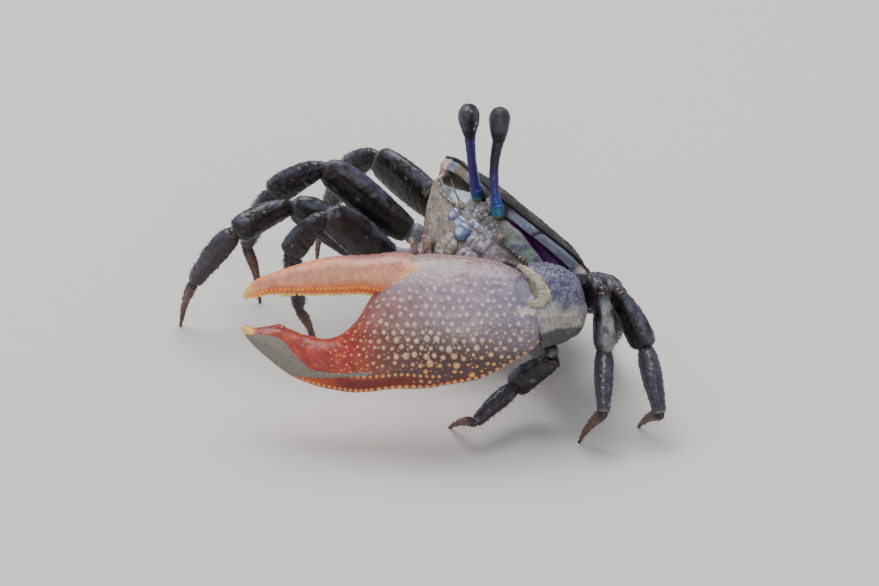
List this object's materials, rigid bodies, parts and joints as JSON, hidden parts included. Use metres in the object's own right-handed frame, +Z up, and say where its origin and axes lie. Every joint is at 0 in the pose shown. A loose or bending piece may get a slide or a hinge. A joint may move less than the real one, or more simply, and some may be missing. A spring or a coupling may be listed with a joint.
{
  "type": "fiddler crab",
  "caption": "Life-size male fiddler crab standing with its front raised, a huge claw folded across its face, stalked eyes upright and toes on the ground; a still display model.",
  "frame": {"origin": "middle of the footprint on the ground, under the middle of the whole box", "axes": "+Z up; +X towards the crab's own left, where its big claw is; -Y the way the crab faces"},
  "size_m": [0.0868, 0.0622, 0.0451],
  "materials": {
    "shell": "satin, finely granular shell",
    "underside": "satin, pale shell with a film of fine mud",
    "mouth": "satin, damp",
    "face_blue": "glossy, wet",
    "stalk": "glossy",
    "eye": "high gloss",
    "leg": "semi-gloss with a bluish sheen",
    "shin": "semi-gloss",
    "toe": "satin",
    "wrist": "satin, granular",
    "palm": "satin, covered with domed tubercles",
    "finger": "satin, granular, with a toothed edge",
    "small_claw": "satin"
  },
  "bodies": {
    "root": {"abdomen": "underside", "antenna_left": "mouth", "antenna_right": "mouth", "big_claw_arm": "leg", "big_claw_finger": "finger", "big_claw_fixed_finger": "finger", "big_claw_palm": "palm", "big_claw_wrist": "wrist", "carapace": "shell", "epistome": "face_blue", "eye_left": "eye", "eye_right": "eye", "eyestalk_left": "stalk", "eyestalk_right": "stalk", "leg_2_left_carpus": "leg", "leg_2_left_dactyl": "toe", "leg_2_left_merus": "leg", "leg_2_left_propodus": "shin", "leg_2_right_carpus": "leg", "leg_2_right_dactyl": "toe", "leg_2_right_merus": "leg", "leg_2_right_propodus": "shin", "leg_3_left_carpus": "leg", "leg_3_left_dactyl": "toe", "leg_3_left_merus": "leg", "leg_3_left_propodus": "shin", "leg_3_right_carpus": "leg", "leg_3_right_dactyl": "toe", "leg_3_right_merus": "leg", "leg_3_right_propodus": "shin", "leg_4_left_carpus": "leg", "leg_4_left_dactyl": "toe", "leg_4_left_merus": "leg", "leg_4_left_propodus": "shin", "leg_4_right_carpus": "leg", "leg_4_right_dactyl": "toe", "leg_4_right_merus": "leg", "leg_4_right_propodus": "shin", "leg_5_left_carpus": "leg", "leg_5_left_dactyl": "toe", "leg_5_left_merus": "leg", "leg_5_left_propodus": "shin", "leg_5_right_carpus": "leg", "leg_5_right_dactyl": "toe", "leg_5_right_merus": "leg", "leg_5_right_propodus": "shin", "maxilliped_left": "mouth", "maxilliped_right": "mouth", "small_claw_arm": "small_claw", "small_claw_finger": "small_claw", "small_claw_palm": "small_claw", "small_claw_wrist": "small_claw", "trunk": "underside"}
  },
  "joints": []
}
